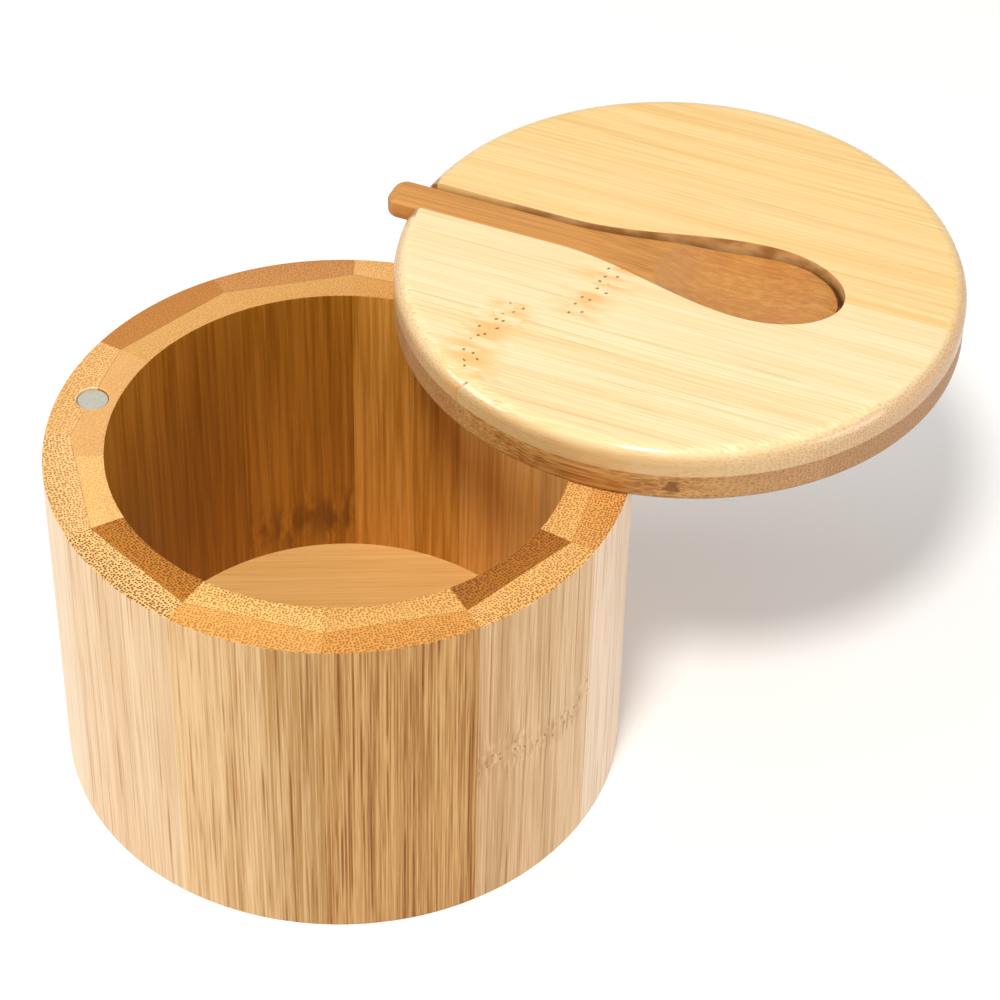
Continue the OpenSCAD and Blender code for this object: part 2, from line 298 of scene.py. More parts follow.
# The wood itself: long pale fibres between darker strands, which show as dots where they are cut across
bamboo, given, result = group_with(
    "bamboo",
    [
        ("Place", "Vector", (0, 0, 0)),
        ("End", "Float", 0.0),
        ("Bend", "Float", 0.0),
        ("Seed", "Float", 0.0),
        ("Light", "Color", (1, 1, 1, 1)),
        ("Dark", "Color", (0, 0, 0, 1)),
        ("Strand", "Color", (0, 0, 0, 1)),
        ("Streaks", "Float", 0.5),
        ("Pores", "Float", 0.8),
        ("Crowding", "Float", 0.0),
        ("Contrast", "Float", 1.0),
        ("Fineness", "Float", 3.2),
        ("Slant", "Float", 0.0),
    ],
    [("Color", "Color"), ("Height", "Float"), ("Roughness", "Float")],
)
tree = bamboo
seed_x, seed_z = (calc(tree, "MULTIPLY", given["Seed"], step) for step in (17.3, 31.9))
place = lay(
    tree, "VectorMath", given["Place"], lay(tree, "CombineXYZ", seed_x, 0.0, seed_z), operation="ADD"
)
bent = lay(tree, "CombineXYZ", given["Bend"], given["Bend"], 0.0)
place = lay(tree, "VectorMath", place, bent, operation="ADD")
cut_across = ramp(tree, given["End"], 0.25, 0.85)
cut_along = calc(tree, "SUBTRACT", 1.0, cut_across)
bands = noise(tree, scaled(tree, place, (0.30, 0.35, 0.008)), 2.0)
fine = lay(tree, "CombineXYZ", given["Fineness"], given["Fineness"], 0.036)
fibre = noise(tree, scaled(tree, place, fine), 4.0, 0.55)
tone = calc(
    tree, "ADD", ramp(tree, bands, 0.3, 0.7, -0.3, 0.3), ramp(tree, fibre, 0.3, 0.7, -0.55, 0.55)
)
fleck = ramp(tree, noise(tree, scaled(tree, place, (4.2, 4.2, 0.14)), 2.0), 0.3, 0.7, -0.14, 0.14)
tone = calc(tree, "ADD", tone, calc(tree, "MULTIPLY", fleck, given["Streaks"]))
strength = calc(tree, "MULTIPLY", given["Contrast"], ramp(tree, cut_across, 0.0, 1.0, 1.0, 0.35))
tone = calc(tree, "ADD", calc(tree, "MULTIPLY", tone, strength), 0.5)
unmoved = lay(tree, "SeparateXYZ", given["Place"]).node.outputs
leaning = calc(tree, "MULTIPLY", calc(tree, "MULTIPLY", unmoved[0], given["Slant"]), cut_along)
tone = lay(tree, "Clamp", calc(tree, "ADD", tone, leaning))
wood = mixed(tree, tone, given["Dark"], given["Light"])
drift = noise(tree, scaled(tree, place, (0.12, 0.12, 0.014)), 1.0).node.outputs["Color"]
drift = lay(tree, "VectorMath", drift, (0.5, 0.5, 0.5), operation="SUBTRACT")
drift = scaled(tree, drift, (1.0, 2.0, 0.0))
strand_place = lay(tree, "VectorMath", place, drift, operation="ADD")
cell = lay(
    tree, "TexVoronoi", strand_place, 2.1, 0.0, 0.5, 2.0, 0.62, voronoi_dimensions="2D", feature="F1"
)
lot = lay(tree, "SeparateColor", cell.node.outputs["Color"]).node.outputs
apart = lay(tree, "SeparateXYZ", place).node.outputs
reach = calc(tree, "MULTIPLY", unmoved[1], given["Crowding"])
reach = calc(tree, "ADD", reach, ramp(tree, lot[0], 0.0, 1.0, 0.27, 0.38))
pore = ramp(tree, calc(tree, "DIVIDE", cell, reach), 0.45, 1.25, 1.0, 0.0)
dots = calc(tree, "MULTIPLY", calc(tree, "MULTIPLY", pore, given["Pores"]), cut_across)
wood = mixed(tree, dots, wood, given["Strand"])
run = lay(
    tree, "CombineXYZ", calc(tree, "MULTIPLY", lot[0], 60.0), calc(tree, "MULTIPLY", lot[1], 60.0),
    calc(tree, "MULTIPLY", apart[2], 0.055)
)
line = calc(tree, "MULTIPLY", pore, ramp(tree, noise(tree, run, 1.0), 0.38, 0.62))
line = calc(tree, "MULTIPLY", line, ramp(tree, lot[2], 0.1, 1.0, 0.25, 1.0))
line = calc(tree, "MULTIPLY", calc(tree, "MULTIPLY", line, given["Streaks"]), cut_along)
wood = mixed(tree, line, wood, colour("#c09a38"), "MULTIPLY")
tree.links.new(wood, result["Color"])
relief = calc(tree, "SUBTRACT", calc(tree, "MULTIPLY", fibre, 0.5), calc(tree, "MAXIMUM", dots, line))
tree.links.new(relief, result["Height"])
dullness = calc(
    tree, "ADD", ramp(tree, fibre, 0.3, 0.7, 0.40, 0.5), calc(tree, "MULTIPLY", cut_across, 0.12)
)
tree.links.new(dullness, result["Roughness"])


def grouped(tree, group, **values):
    """Places a node group in a material, with its inputs filled or wired by name."""
    node = tree.nodes.new("ShaderNodeGroup")
    node.node_tree = group
    for name, value in values.items():
        if isinstance(value, bpy.types.NodeSocket):
            tree.links.new(value, node.inputs[name])
        else:
            node.inputs[name].default_value = value
    return node.outputs


def lacquered(material, roughness, coat, coat_roughness):
    """The clear-lacquered shader of a bamboo piece, with its tree."""
    material.use_nodes = True
    tree = material.node_tree
    tree.nodes.clear()
    shader = tree.nodes.new("ShaderNodeBsdfPrincipled")
    shader.inputs["Roughness"].default_value = roughness
    shader.inputs["Specular IOR Level"].default_value = 0.25
    shader.inputs["Coat Weight"].default_value = coat
    shader.inputs["Coat Roughness"].default_value = coat_roughness
    lay(tree, "OutputMaterial", shader.outputs[0])
    return tree, shader


def finish_bamboo(
    piece, seed, light, dark, cut, strand, streaks=0.5, pores=0.8, crowding=0.0, contrast=0.8, fineness=3.2,
    joint_at=-500.0, joint_width=6.0, stain=0.0, dots=0.0, stain_tone="#b0702c",
    slant=0.0, coat=0.15, coat_roughness=0.3, bump=0.02
):
    """Gives one strip its own cut of bamboo, by its tones along the fibres and across them."""
    material = bpy.data.materials.new(piece.name.replace("_", " ") + " bamboo")
    tree, shader = lacquered(material, 0.45, coat, coat_roughness)
    grain = lay(tree, "Attribute", attribute_name="grain").node.outputs["Vector"]
    end = lay(tree, "Attribute", attribute_name="end").node.outputs["Fac"]
    cut_across = ramp(tree, end, 0.25, 0.85)
    joint = grouped(tree, culm_joint, Place=grain, At=joint_at, Width=joint_width, Seed=seed)
    cut_dark = mixed(tree, 0.3, colour(cut), colour(strand))
    wood = grouped(
        tree, bamboo, Place=grain, End=end, Bend=joint["Bend"], Seed=seed, Streaks=streaks, Pores=pores,
        Crowding=crowding, Contrast=contrast, Fineness=fineness, Slant=slant, Strand=colour(strand),
        Light=mixed(tree, cut_across, colour(light), colour(cut)),
        Dark=mixed(tree, cut_across, colour(dark), cut_dark),
    )
    tree.links.new(wood["Color"], shader.inputs["Base Color"])
    laid_over(tree, shader, calc(tree, "MULTIPLY", joint["Stain"], stain), colour(stain_tone))
    laid_over(tree, shader, calc(tree, "MULTIPLY", joint["Dots"], dots), colour("#553008"))
    tree.links.new(wood["Roughness"], shader.inputs["Roughness"])
    relief = lay(tree, "Bump", 1.0, bump * MM, None, wood["Height"])
    tree.links.new(relief, shader.inputs["Normal"])
    piece.data.materials.clear()
    piece.data.materials.append(material)
    return tree, shader, grain, cut_across


def laid_over(tree, shader, share, tone):
    """Puts a tone over what the shader's colour shows already, as far as the share says."""
    under = shader.inputs["Base Color"].links[0].from_socket
    tree.links.new(mixed(tree, share, under, tone), shader.inputs["Base Color"])


def show_glue(tree, shader, grain, strength):
    """A thin darker line where the two plies meet, on the rim."""
    depth = lay(tree, "SeparateXYZ", grain).node.outputs[1]
    line = ramp(tree, calc(tree, "ABSOLUTE", depth), 0.04, 0.2, strength, 0.0)
    laid_over(tree, shader, line, colour("#8a5a26"))


# A stave is turned with some wood to spare at the glue line, and then sawn flat there
SPARE = 2 * MM
outer_outline = [
    (GLUE_R - SPARE, FLOOR_T),
    (FLOOR_R, FLOOR_T),
    (FLOOR_R, 0),
    (BODY_R - EDGE, 0),
    (BODY_R - 0.15 * EDGE, 0.15 * EDGE),
    (BODY_R, EDGE),
    (BODY_R, BODY_H - EDGE),
    (BODY_R - 0.15 * EDGE, BODY_H - 0.15 * EDGE),
    (BODY_R - EDGE, BODY_H),
    (GLUE_R - SPARE, BODY_H),
]
outer_model = turned(outer_outline, -STAVE_STEP / 2, STAVE_STEP, "outer stave")
saw(outer_model, (GLUE_R, 0, 0), (1, 0, 0), True)
fresh()

# The magnet's and the pin's holes straddle the glue line, so both plies are drilled
PIVOT_R, PIN_R, PIN_SINK = 39.1 * MM, 2.0 * MM, 14 * MM
MAGNET_TURN, MAGNET_R, MAGNET_T, MAGNET_SET = 171.6, 2.5 * MM, 3.0 * MM, 0.3 * MM
# How far the mouth of a magnet's hole is broken, and how far a drill runs on past the wood
BROKEN, PAST = 0.15 * MM, 1 * MM


def round_bar(name, outline, angle):
    """A bar turned from an outline, stood on the rim in the direction of the angle."""
    bar = turned(outline, 0, 360, name)
    fresh()
    angle = math.radians(angle)
    bar.data.transform(Matrix.Translation((PIVOT_R * math.cos(angle), PIVOT_R * math.sin(angle), 0)))
    return bar


magnet_hole = round_bar(
    "magnet hole",
    [
        (0, BODY_H - MAGNET_SET - MAGNET_T),
        (MAGNET_R, BODY_H - MAGNET_SET - MAGNET_T),
        (MAGNET_R, BODY_H - BROKEN),
        (MAGNET_R + 2 * BROKEN, BODY_H + BROKEN),
        (0, BODY_H + BROKEN),
    ],
    MAGNET_TURN,
)
pin_hole = round_bar(
    "pin hole",
    [(0, BODY_H - PIN_SINK), (PIN_R, BODY_H - PIN_SINK), (PIN_R, BODY_H + PAST), (0, BODY_H + PAST)],
    0,
)

# Tones along the fibres, light and dark, and across them, and of the dots in the end grain; streaks,
# contrast and strength of the dots; how the tone changes across the stave; then the height of a culm
# joint and how stained it is
OUTER_STAVES = [
    ("#e2ba88", "#c69660", "#efba76", "#a06a2c", 0.6, 0.8, 0.5, 0.0, -500, 0),
    ("#deb27a", "#bf8a4e", "#e6ac68", "#986026", 0.6, 0.8, 0.5, 0.0, -500, 0),
    ("#e2be88", "#ce9e64", "#eeb972", "#a06a2c", 0.5, 0.8, 0.4, 0.0, -500, 0),
    ("#d6a66a", "#b37e44", "#d09150", "#8c5420", 0.7, 0.8, 0.5, 0.0, -500, 0),
    ("#cf9a60", "#a7733a", "#c3803a", "#84501c", 0.7, 0.8, 0.4, 0.0, -500, 0),
    ("#e8c48e", "#d2a76c", "#efbc78", "#a46a26", 0.4, 0.7, 0.7, 0.0, -500, 0),
    # Rows seven and eight, at the wall's left, are toned paler and whiter than their neighbours: painted
    # light for the wall's brightly lit left side
    ("#e8d3b4", "#d8b68e", "#f8c886", "#9a6220", 0.5, 0.5, 0.9, 0.0, -500, 0),
    ("#e6c8a2", "#cea678", "#fac97e", "#6c3e0c", 0.75, 0.65, 1.0, 0.0, -500, 0),
    ("#e0ba88", "#b48648", "#eeb05e", "#a05c18", 1.0, 0.8, 0.75, -0.04, -500, 0),
    ("#d0a266", "#a06b26", "#e2a04e", "#8c5014", 1.3, 0.95, 0.75, -0.012, -500, 0),
    ("#e0bd92", "#be9664", "#f6bc6e", "#865010", 0.75, 0.8, 0.85, 0.03, 30, 0.3),
    # Row twelve, at the wall's right, is toned pale and whitish: painted light for the wall's brightly lit
    # right side
    ("#f5dfc6", "#e2c2a0", "#e4a456", "#8a5018", 0.6, 0.5, 0.85, 0.0, -500, 0),
]
DRILLED = {5: magnet_hole, 11: pin_hole}


def set_stave(model, number, ply, hole):
    """Copies a stave, turns it to its place in the wall, drills it and lets it stand for its node."""
    stave = model.copy()
    stave.data = model.data.copy()
    bpy.context.scene.collection.objects.link(stave)
    stave.name = f"{ply}_stave_wall_{number:02d}"
    turn = math.radians(STAVE_TURN + (number - 0.5) * STAVE_STEP)
    stave.data.transform(Matrix.Rotation(turn, 4, "Z"))
    if hole:
        drill(stave, hole)
    sanded(stave)
    across, outward = (-math.sin(turn), math.cos(turn), 0), (math.cos(turn), math.sin(turn), 0)
    mark_grain(stave, Vector(outward) * GLUE_R, across, outward, (0, 0, 1))
    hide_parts(f"{ply}_stave_{number:02d}")
    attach(stave, "body")
    return stave


for index, stave_facts in enumerate(OUTER_STAVES):
    light, dark, cut, strand, streaks, contrast, pores, slant, joint_at, stain = stave_facts
    stave = set_stave(outer_model, index + 1, "outer", DRILLED.get(index))
    tree, shader, grain, cut_across = finish_bamboo(
        stave, index + 1.0, light, dark, cut, strand, streaks, pores, 0.02, contrast,
        joint_at=joint_at, joint_width=5.0, stain=stain, dots=2 * stain, stain_tone="#a87440", slant=slant
    )
    show_glue(tree, shader, grain, 0.3)
    # The outer corner is painted paler than the end grain and the wall: partly sanded wood, partly a painted
    # highlight along the rim's edge
    corner = calc(tree, "MULTIPLY", cut_across, calc(tree, "SUBTRACT", 1.0, cut_across))
    laid_over(tree, shader, calc(tree, "MULTIPLY", corner, 3.4), colour("#ffeac4"))
bpy.data.objects.remove(outer_model)


# Inner staves
# Twelve more staves line the wall, with their outsides planed flat and the bore turned round.
# They stand on the floor. One of their joints misses the corner of the glue line by seven degrees.
BORE_R = 35.2 * MM
ODD_JOINT, ODD_TURN = 6, 7.0
inner_outline = [
    (BORE_R, FLOOR_T),
    (GLUE_R + SPARE, FLOOR_T),
    (GLUE_R + SPARE, BODY_H),
    (BORE_R + EDGE, BODY_H),
    (BORE_R + 0.15 * EDGE, BODY_H - 0.15 * EDGE),
    (BORE_R, BODY_H - EDGE),
]
# As for the outer staves, but with no change of tone across the stave
# Painted shade: the tones along the fibres, which face into the bore, are far darker than the same staves'
# end grain on the rim. They are darkest in rows four to eight, towards the bore's left, and lighter in rows
# one to three, towards its right
INNER_STAVES = [
    ("#e2b06c", "#c68e46", "#f0bc74", "#a4702e", 0.2, 0.9, 0.5, -500, 0),
    ("#f2ba68", "#d29444", "#e6ae60", "#a06a2a", 0.2, 0.9, 0.5, -500, 0),
    ("#da9b44", "#b47722", "#dea45a", "#9c6426", 0.2, 1.0, 0.4, -500, 0),
    ("#b77924", "#945909", "#dea65e", "#a06a2a", 0.15, 0.8, 0.35, 11, 0.65),
    ("#ad7020", "#8c5207", "#dea862", "#a06a2a", 0.15, 0.8, 0.35, -500, 0),
    ("#b77b2a", "#955d10", "#e4ae6c", "#b07a3e", 0.15, 0.9, 0.35, -500, 0),
    ("#be8230", "#9a621c", "#f8c47a", "#b47a32", 0.15, 0.9, 0.55, -500, 0),
    ("#b2782a", "#8c540c", "#c47c22", "#6a3a00", 0.3, 0.9, 1.0, -500, 0),
    ("#d29a48", "#b07628", "#fac676", "#9c641c", 0.2, 0.9, 0.9, -500, 0),
    ("#cc903c", "#aa6e22", "#f0b666", "#8c561a", 0.2, 0.9, 0.75, -500, 0),
    ("#b2782a", "#8c540c", "#b26b1a", "#663600", 0.3, 0.9, 1.0, -500, 0),
    ("#ca9044", "#a87028", "#eeb66a", "#965e20", 0.2, 0.9, 0.8, -500, 0),
]

for index, (light, dark, cut, strand, streaks, contrast, pores, joint_at, stain) in enumerate(INNER_STAVES):
    start = -STAVE_STEP / 2 + (ODD_TURN if index == ODD_JOINT else 0)
    sweep = STAVE_STEP / 2 + (ODD_TURN if index == ODD_JOINT - 1 else 0) - start
    model = turned(inner_outline, start, sweep, "inner stave")
    saw(model, (GLUE_R, 0, 0), (1, 0, 0), False)
    if index == ODD_JOINT - 1:
        turn = math.radians(STAVE_STEP)
        flat = (math.cos(turn), math.sin(turn), 0)
        saw(model, Vector(flat) * GLUE_R, flat, False)
    fresh()
    stave = set_stave(model, index + 1, "inner", DRILLED.get(index))
    tree, shader, grain, _ = finish_bamboo(
        stave, index + 21.0, light, dark, cut, strand, streaks, pores, -0.02, contrast, 1.4,
        joint_at, 9.0, stain, stain_tone="#62340a"
    )
    show_glue(tree, shader, grain, 0.25)
    bpy.data.objects.remove(model)


# Floor
# Four bamboo strips, glued edge to edge, cut round and let up into the foot of the wall.
# The outer staves hold them all round, and the inner staves stand on them.
FLOOR_TURN = 8.0 - 90.0
fresh()
SIDES = round(360 / SEGMENT)
bpy.ops.mesh.primitive_cylinder_add(
    vertices=SIDES, radius=FLOOR_R, depth=FLOOR_T, location=(0, 0, FLOOR_T / 2)
)
disc = bpy.context.object
bpy.ops.object.transform_apply(location=True)


def cut_strip(board, name, low, high):
    """Saws one strip out of a copy of the board, between two seams across X."""
    strip = board.copy()
    strip.data = board.data.copy()
    bpy.context.scene.collection.objects.link(strip)
    strip.name = name
    if low is not None:
        saw(strip, (low, 0, 0), (1, 0, 0), True)
    if high is not None:
        saw(strip, (high, 0, 0), (1, 0, 0), False)
    sanded(strip)
    return strip


floor_seams = [None, -20.5 * MM, 0.0, 20.5 * MM, None]
for index in range(4):
    strip = cut_strip(disc, f"floor_board_{index + 1}", floor_seams[index], floor_seams[index + 1])
    mark_grain(strip, (0, 0, 0), (1, 0, 0), (0, 0, 1), (0, 1, 0))
    strip.data.transform(Matrix.Rotation(math.radians(FLOOR_TURN), 4, "Z"))
    light = ["#f2c47c", "#f6ca84"][index % 2]
    finish_bamboo(strip, index + 41.0, light, "#e4b064", "#e0b070", "#b87a38", 0.2, 0.5, contrast=0.6)
    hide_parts(f"floor_strip_{index + 1}")
    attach(strip, "body")
bpy.data.objects.remove(disc)


# Rim magnet
# A nickel-plated disc magnet, one half of the catch that holds the lid closed.
# It is pressed into a hole over the glue line and lies just below the wood.
def magnet_outline(low):
    """The outline of a magnet that reaches up from this height, with its edges broken."""
    edge, high = 0.2 * MM, low + MAGNET_T
    return [
        (0, low),
        (MAGNET_R - edge, low),
        (MAGNET_R, low + edge),
        (MAGNET_R, high - edge),
        (MAGNET_R - edge, high),
        (0, high),
    ]


def nickel(piece):
    """Dull nickel plating with fine scuffs."""
    material = bpy.data.materials.new(piece.name.replace("_", " ") + " nickel")
    tree, shader = lacquered(material, 0.4, 0.0, 0.2)
    shader.inputs["Metallic"].default_value = 0.85
    here = lay(tree, "TexCoord").node.outputs["Object"]
    scuff = noise(tree, scaled(tree, here, (1600, 1600, 1600)), 4.0, 0.65)
    tree.links.new(mixed(tree, scuff, colour("#aaa99e"), colour("#d6d2c2")), shader.inputs["Base Color"])
    tree.links.new(ramp(tree, scuff, 0.3, 0.7, 0.35, 0.55), shader.inputs["Roughness"])
    tree.links.new(lay(tree, "Bump", 0.5, 0.01 * MM, None, scuff), shader.inputs["Normal"])
    piece.data.materials.append(material)


rim_magnet = round_bar("rim_disc_magnet", magnet_outline(BODY_H - MAGNET_SET - MAGNET_T), MAGNET_TURN)
sanded(rim_magnet)
nickel(rim_magnet)
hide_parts("rim_magnet")
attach(rim_magnet, "body")


# Pivot pin
# A turned steel pin, pressed into the wall where its two plies meet.
# Its head is caught between the two plies of the lid, so that the lid turns and stays on.
LID_Z, LID_LOW_T, LID_TOP_T = 59.1 * MM, 4.7 * MM, 4.5 * MM
HEAD_R, HEAD_T, HEAD_PLAY, PIN_PLAY = 3.5 * MM, 1.4 * MM, 0.1 * MM, 0.05 * MM
HEAD_Z = LID_Z + LID_LOW_T - HEAD_PLAY - HEAD_T
PIN_EDGE, HEAD_EDGE = 0.4 * MM, 0.3 * MM
pin = round_bar(
    "steel_pivot_pin",
    [
        (0, BODY_H - PIN_SINK),
        (PIN_R - PIN_EDGE, BODY_H - PIN_SINK),
        (PIN_R, BODY_H - PIN_SINK + PIN_EDGE),
        (PIN_R, HEAD_Z),
        (HEAD_R, HEAD_Z),
        (HEAD_R, HEAD_Z + HEAD_T - HEAD_EDGE),
        (HEAD_R - HEAD_EDGE, HEAD_Z + HEAD_T),
        (0, HEAD_Z + HEAD_T),
    ],
    0,
)
sanded(pin)
steel = bpy.data.materials.new("turned steel")
tree, shader = lacquered(steel, 0.3, 0.0, 0.2)
shader.inputs["Metallic"].default_value = 1.0
here = lay(tree, "TexCoord").node.outputs["Object"]
turning = noise(tree, scaled(tree, here, (300, 300, 14000)), 2.0)
tree.links.new(mixed(tree, turning, colour("#9b9fa1"), colour("#c9ccce")), shader.inputs["Base Color"])
tree.links.new(ramp(tree, turning, 0.3, 0.7, 0.22, 0.38), shader.inputs["Roughness"])
pin.data.materials.append(steel)
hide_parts("pivot_pin")
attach(pin, "body")


# Lid, bottom ply
# Five strips of bamboo, glued edge to edge and cut round, are the underside of the lid.
# The pin's bore is at one edge and the hole for a magnet at the other.
LID_R, BOTTOM_ROUND = 44.9 * MM, 0.8 * MM
BOARD_TURN, LID_OPEN = -2.2, 104.4
STRIP = 20.2 * MM
FIRST_SEAM = 3.6 * MM - LID_R


def choose(piece, wanted):
    """In edit mode, selects the edges whose two ends pass the test."""
    bpy.ops.mesh.select_mode(type="EDGE")
    bpy.ops.mesh.select_all(action="DESELECT")
    shape = bmesh.from_edit_mesh(piece.data)
    for edge in shape.edges:
        edge.select_set(wanted(edge.verts[0].co, edge.verts[1].co))
    bmesh.update_edit_mesh(piece.data)


def round_board(low, high, rounded_at, radius, segments):
    """A round board from low to high, with the edge at one of these heights rounded over."""
    fresh()
    bpy.ops.mesh.primitive_cylinder_add(
        vertices=SIDES, radius=LID_R, depth=high - low, location=(0, 0, (low + high) / 2)
    )
    bpy.ops.object.transform_apply(location=True)
    board = bpy.context.object
    into_edit(board)
    choose(board, lambda a, b: abs(a.z - rounded_at) < 1e-6 and abs(b.z - rounded_at) < 1e-6)
    bpy.ops.mesh.bevel(offset=radius, segments=segments, affect="EDGES")
    fresh()
    return board


def place_on_lid(piece):
    """Turns a piece drawn closed, with the grain along Y, to where the open lid has it."""
    swing = Matrix.Translation((PIVOT_R, 0, LID_Z)) @ Matrix.Rotation(math.radians(-LID_OPEN), 4, "Z")
    board = Matrix.Rotation(math.radians(BOARD_TURN), 4, "Z")
    piece.data.transform(swing @ Matrix.Translation((-PIVOT_R, 0, 0)) @ board)


def bar_at(name, outline, angle):
    """A cutter or disc at the pin's or the magnet's place in the board, before the board is turned."""
    bar = turned(outline, 0, 360, name)
    fresh()
    angle = math.radians(angle - BOARD_TURN)
    bar.data.transform(Matrix.Translation((PIVOT_R * math.cos(angle), PIVOT_R * math.sin(angle), 0)))
    return bar


recess = LID_LOW_T - HEAD_T - 2 * HEAD_PLAY
bore = bar_at(
    "pin bore",
    [
        (0, -PAST),
        (PIN_R + PIN_PLAY, -PAST),
        (PIN_R + PIN_PLAY, recess),
        (HEAD_R + PIN_PLAY, recess),
        (HEAD_R + PIN_PLAY, LID_LOW_T + PAST),
        (0, LID_LOW_T + PAST),
    ],
    0,
)
lid_magnet_hole = bar_at(
    "lid magnet hole",
    [
        (0, -BROKEN),
        (MAGNET_R + 2 * BROKEN, -BROKEN),
        (MAGNET_R, BROKEN),
        (MAGNET_R, MAGNET_SET + MAGNET_T),
        (0, MAGNET_SET + MAGNET_T),
    ],
    MAGNET_TURN,
)
bottom_board = round_board(0, LID_LOW_T, 0, BOTTOM_ROUND, 4)
seams = [None] + [FIRST_SEAM + (k + 0.5) * STRIP for k in range(4)] + [None]
# Tones along the fibres, light and dark, and across them
BOTTOM_TONES = [
    ("#bc8c4c", "#8e581e", "#b48c60"),
    ("#c8985a", "#a0682e", "#c09a70"),
    ("#bc8e4c", "#905820", "#b28a5e"),
    ("#ba8c4e", "#905820", "#b68c60"),
    ("#c89858", "#a0662c", "#be9468"),
]
for index, (light, dark, cut) in enumerate(BOTTOM_TONES):
    strip = cut_strip(bottom_board, f"lid_bottom_board_{index + 1}", seams[index], seams[index + 1])
    if index in (0, 4):
        drill(strip, {0: lid_magnet_hole, 4: bore}[index])
        sanded(strip)
    mark_grain(strip, (0, 0, 0), (1, 0, 0), (0, 0, 1), (0, 1, 0))
    place_on_lid(strip)
    tree, shader, grain, _ = finish_bamboo(
        strip, index + 51.0, light, dark, cut, "#85552a", 0.8, 0.7, contrast=0.9
    )
    if index == 4:
        # The strip over the pin has a small dark knot that shows on the lid's edge
        knot = lay(tree, "VectorMath", grain, (43.0, 2.3, 14.4), operation="DISTANCE").node.outputs["Value"]
        ragged = noise(tree, scaled(tree, grain, (1.5, 1.5, 0.8)), 2.0)
        knot = calc(tree, "ADD", knot, ramp(tree, ragged, 0.3, 0.7, -0.7, 0.7))
        laid_over(tree, shader, ramp(tree, knot, 0.7, 1.7, 0.9, 0.0), colour("#784810"))
    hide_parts(f"lid_bottom_strip_{index + 1}")
    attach(strip, "lid")
bpy.data.objects.remove(bottom_board)


# Lid magnet
# The other half of the catch, a disc magnet like the one in the rim.
# It is pressed into the lid's underside, and meets the rim's when the lid is closed.
lid_magnet = bar_at("lid_disc_magnet", magnet_outline(MAGNET_SET), MAGNET_TURN)
sanded(lid_magnet)
place_on_lid(lid_magnet)
nickel(lid_magnet)
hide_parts("lid_magnet")
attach(lid_magnet, "lid")


# Lid, top ply
# Six pale strips of bamboo, glued over the bottom ply, rounded over at the edge and lacquered.
# A groove goes right through them, so that the spoon lies on the bottom ply.
TIP_Y = -(LID_R + 4.5 * MM)
SPOON_LEN = 75 * MM
NOSE, NOSE_PLAY = 12.8 * MM, 0.9 * MM
BOWL_Y = TIP_Y + SPOON_LEN - NOSE
NECK = 32 * MM
NECK_Y = BOWL_Y - NECK
HANDLE_W, BOWL_W, PLAY = 6.1 * MM, 17.7 * MM, 0.5 * MM
OFF_MIDDLE, MOUTH = 0.4 * MM, 1.8 * MM
LID_TOP, TOP_ROUND = LID_LOW_T + LID_TOP_T, 2.7 * MM


def eased(share):
    share = max(0.0, min(1.0, share))
    return share * share * (3 - 2 * share)


def half_width(y, grow=0.0, nose=NOSE):
    """Half the spoon's width at a place along it, or half the groove's where it is grown by its play."""
    bowl = BOWL_W / 2 + grow
    if y > BOWL_Y:
        return bowl * math.sqrt(max(0.0, 1 - ((y - BOWL_Y) / nose) ** 2))
    handle = HANDLE_W / 2 + grow
    return handle + (bowl - handle) * eased((y - NECK_Y) / NECK)


# The groove's outline: flared at the lid's edge, widening along the neck, and round at the nose
GROOVE_NOSE = NOSE + NOSE_PLAY
half_groove = HANDLE_W / 2 + PLAY
outline = [(half_groove + MOUTH, TIP_Y - 2 * MM)]
outline += [(half_groove + MOUTH * (1 - math.cos(a)), MOUTH * (1 - math.sin(a)) - LID_R)
            for a in (math.radians(90 - 9 * i) for i in range(11))]
outline += [(half_width(NECK_Y + NECK * i / 40, PLAY), NECK_Y + NECK * i / 40) for i in range(41)]
outline += [((BOWL_W / 2 + PLAY) * math.cos(a), BOWL_Y + GROOVE_NOSE * math.sin(a))
            for a in (math.radians(89.9 * i / 40) for i in range(1, 41))]
fresh()
bpy.ops.mesh.primitive_grid_add(x_subdivisions=1, y_subdivisions=len(outline) - 1)
groove = bpy.context.object
for number, vertex in enumerate(groove.data.vertices):
    half, y = outline[number // 2]
    vertex.co = (half * (number % 2 * 2 - 1) - OFF_MIDDLE, y, LID_LOW_T - PAST)
into_edit(groove)
bpy.ops.mesh.extrude_region_move(TRANSFORM_OT_translate={"value": (0, 0, LID_TOP_T + 2 * PAST)})
bpy.ops.mesh.select_all(action="SELECT")
bpy.ops.mesh.normals_make_consistent(inside=False)
top_board = round_board(LID_LOW_T, LID_TOP, LID_TOP, TOP_ROUND, 10)
drill(top_board, groove)
bpy.data.objects.remove(groove)


def on_groove_edge(a, b):
    """Whether an edge from a to b lies round the groove, in the board's flat top."""
    within = (a + b).xy.length < 2 * (LID_R - TOP_ROUND - 0.05 * MM)
    return within and abs(a.z - LID_TOP) < 1e-6 and abs(b.z - LID_TOP) < 1e-6


into_edit(top_board)
choose(top_board, on_groove_edge)
bpy.ops.mesh.bevel(offset=0.2 * MM, segments=2, affect="EDGES")
fresh()


def mark_groove(piece):
    """Marks the groove's wall, which is coloured a darker brown."""
    mesh = piece.data
    walls = mesh.attributes.new("groove", "FLOAT", "POINT")
    for vertex, mark in zip(mesh.vertices, walls.data):
        beyond = abs(vertex.co.x + OFF_MIDDLE) - half_width(vertex.co.y, PLAY, GROOVE_NOSE)
        in_mouth = vertex.co.y < MOUTH - LID_R and beyond < MOUTH
        mark.value = float((abs(beyond) < 0.06 * MM or in_mouth) and vertex.co.z < LID_TOP - 0.15 * MM)


seams = [None] + [FIRST_SEAM + k * STRIP for k in range(5)] + [None]
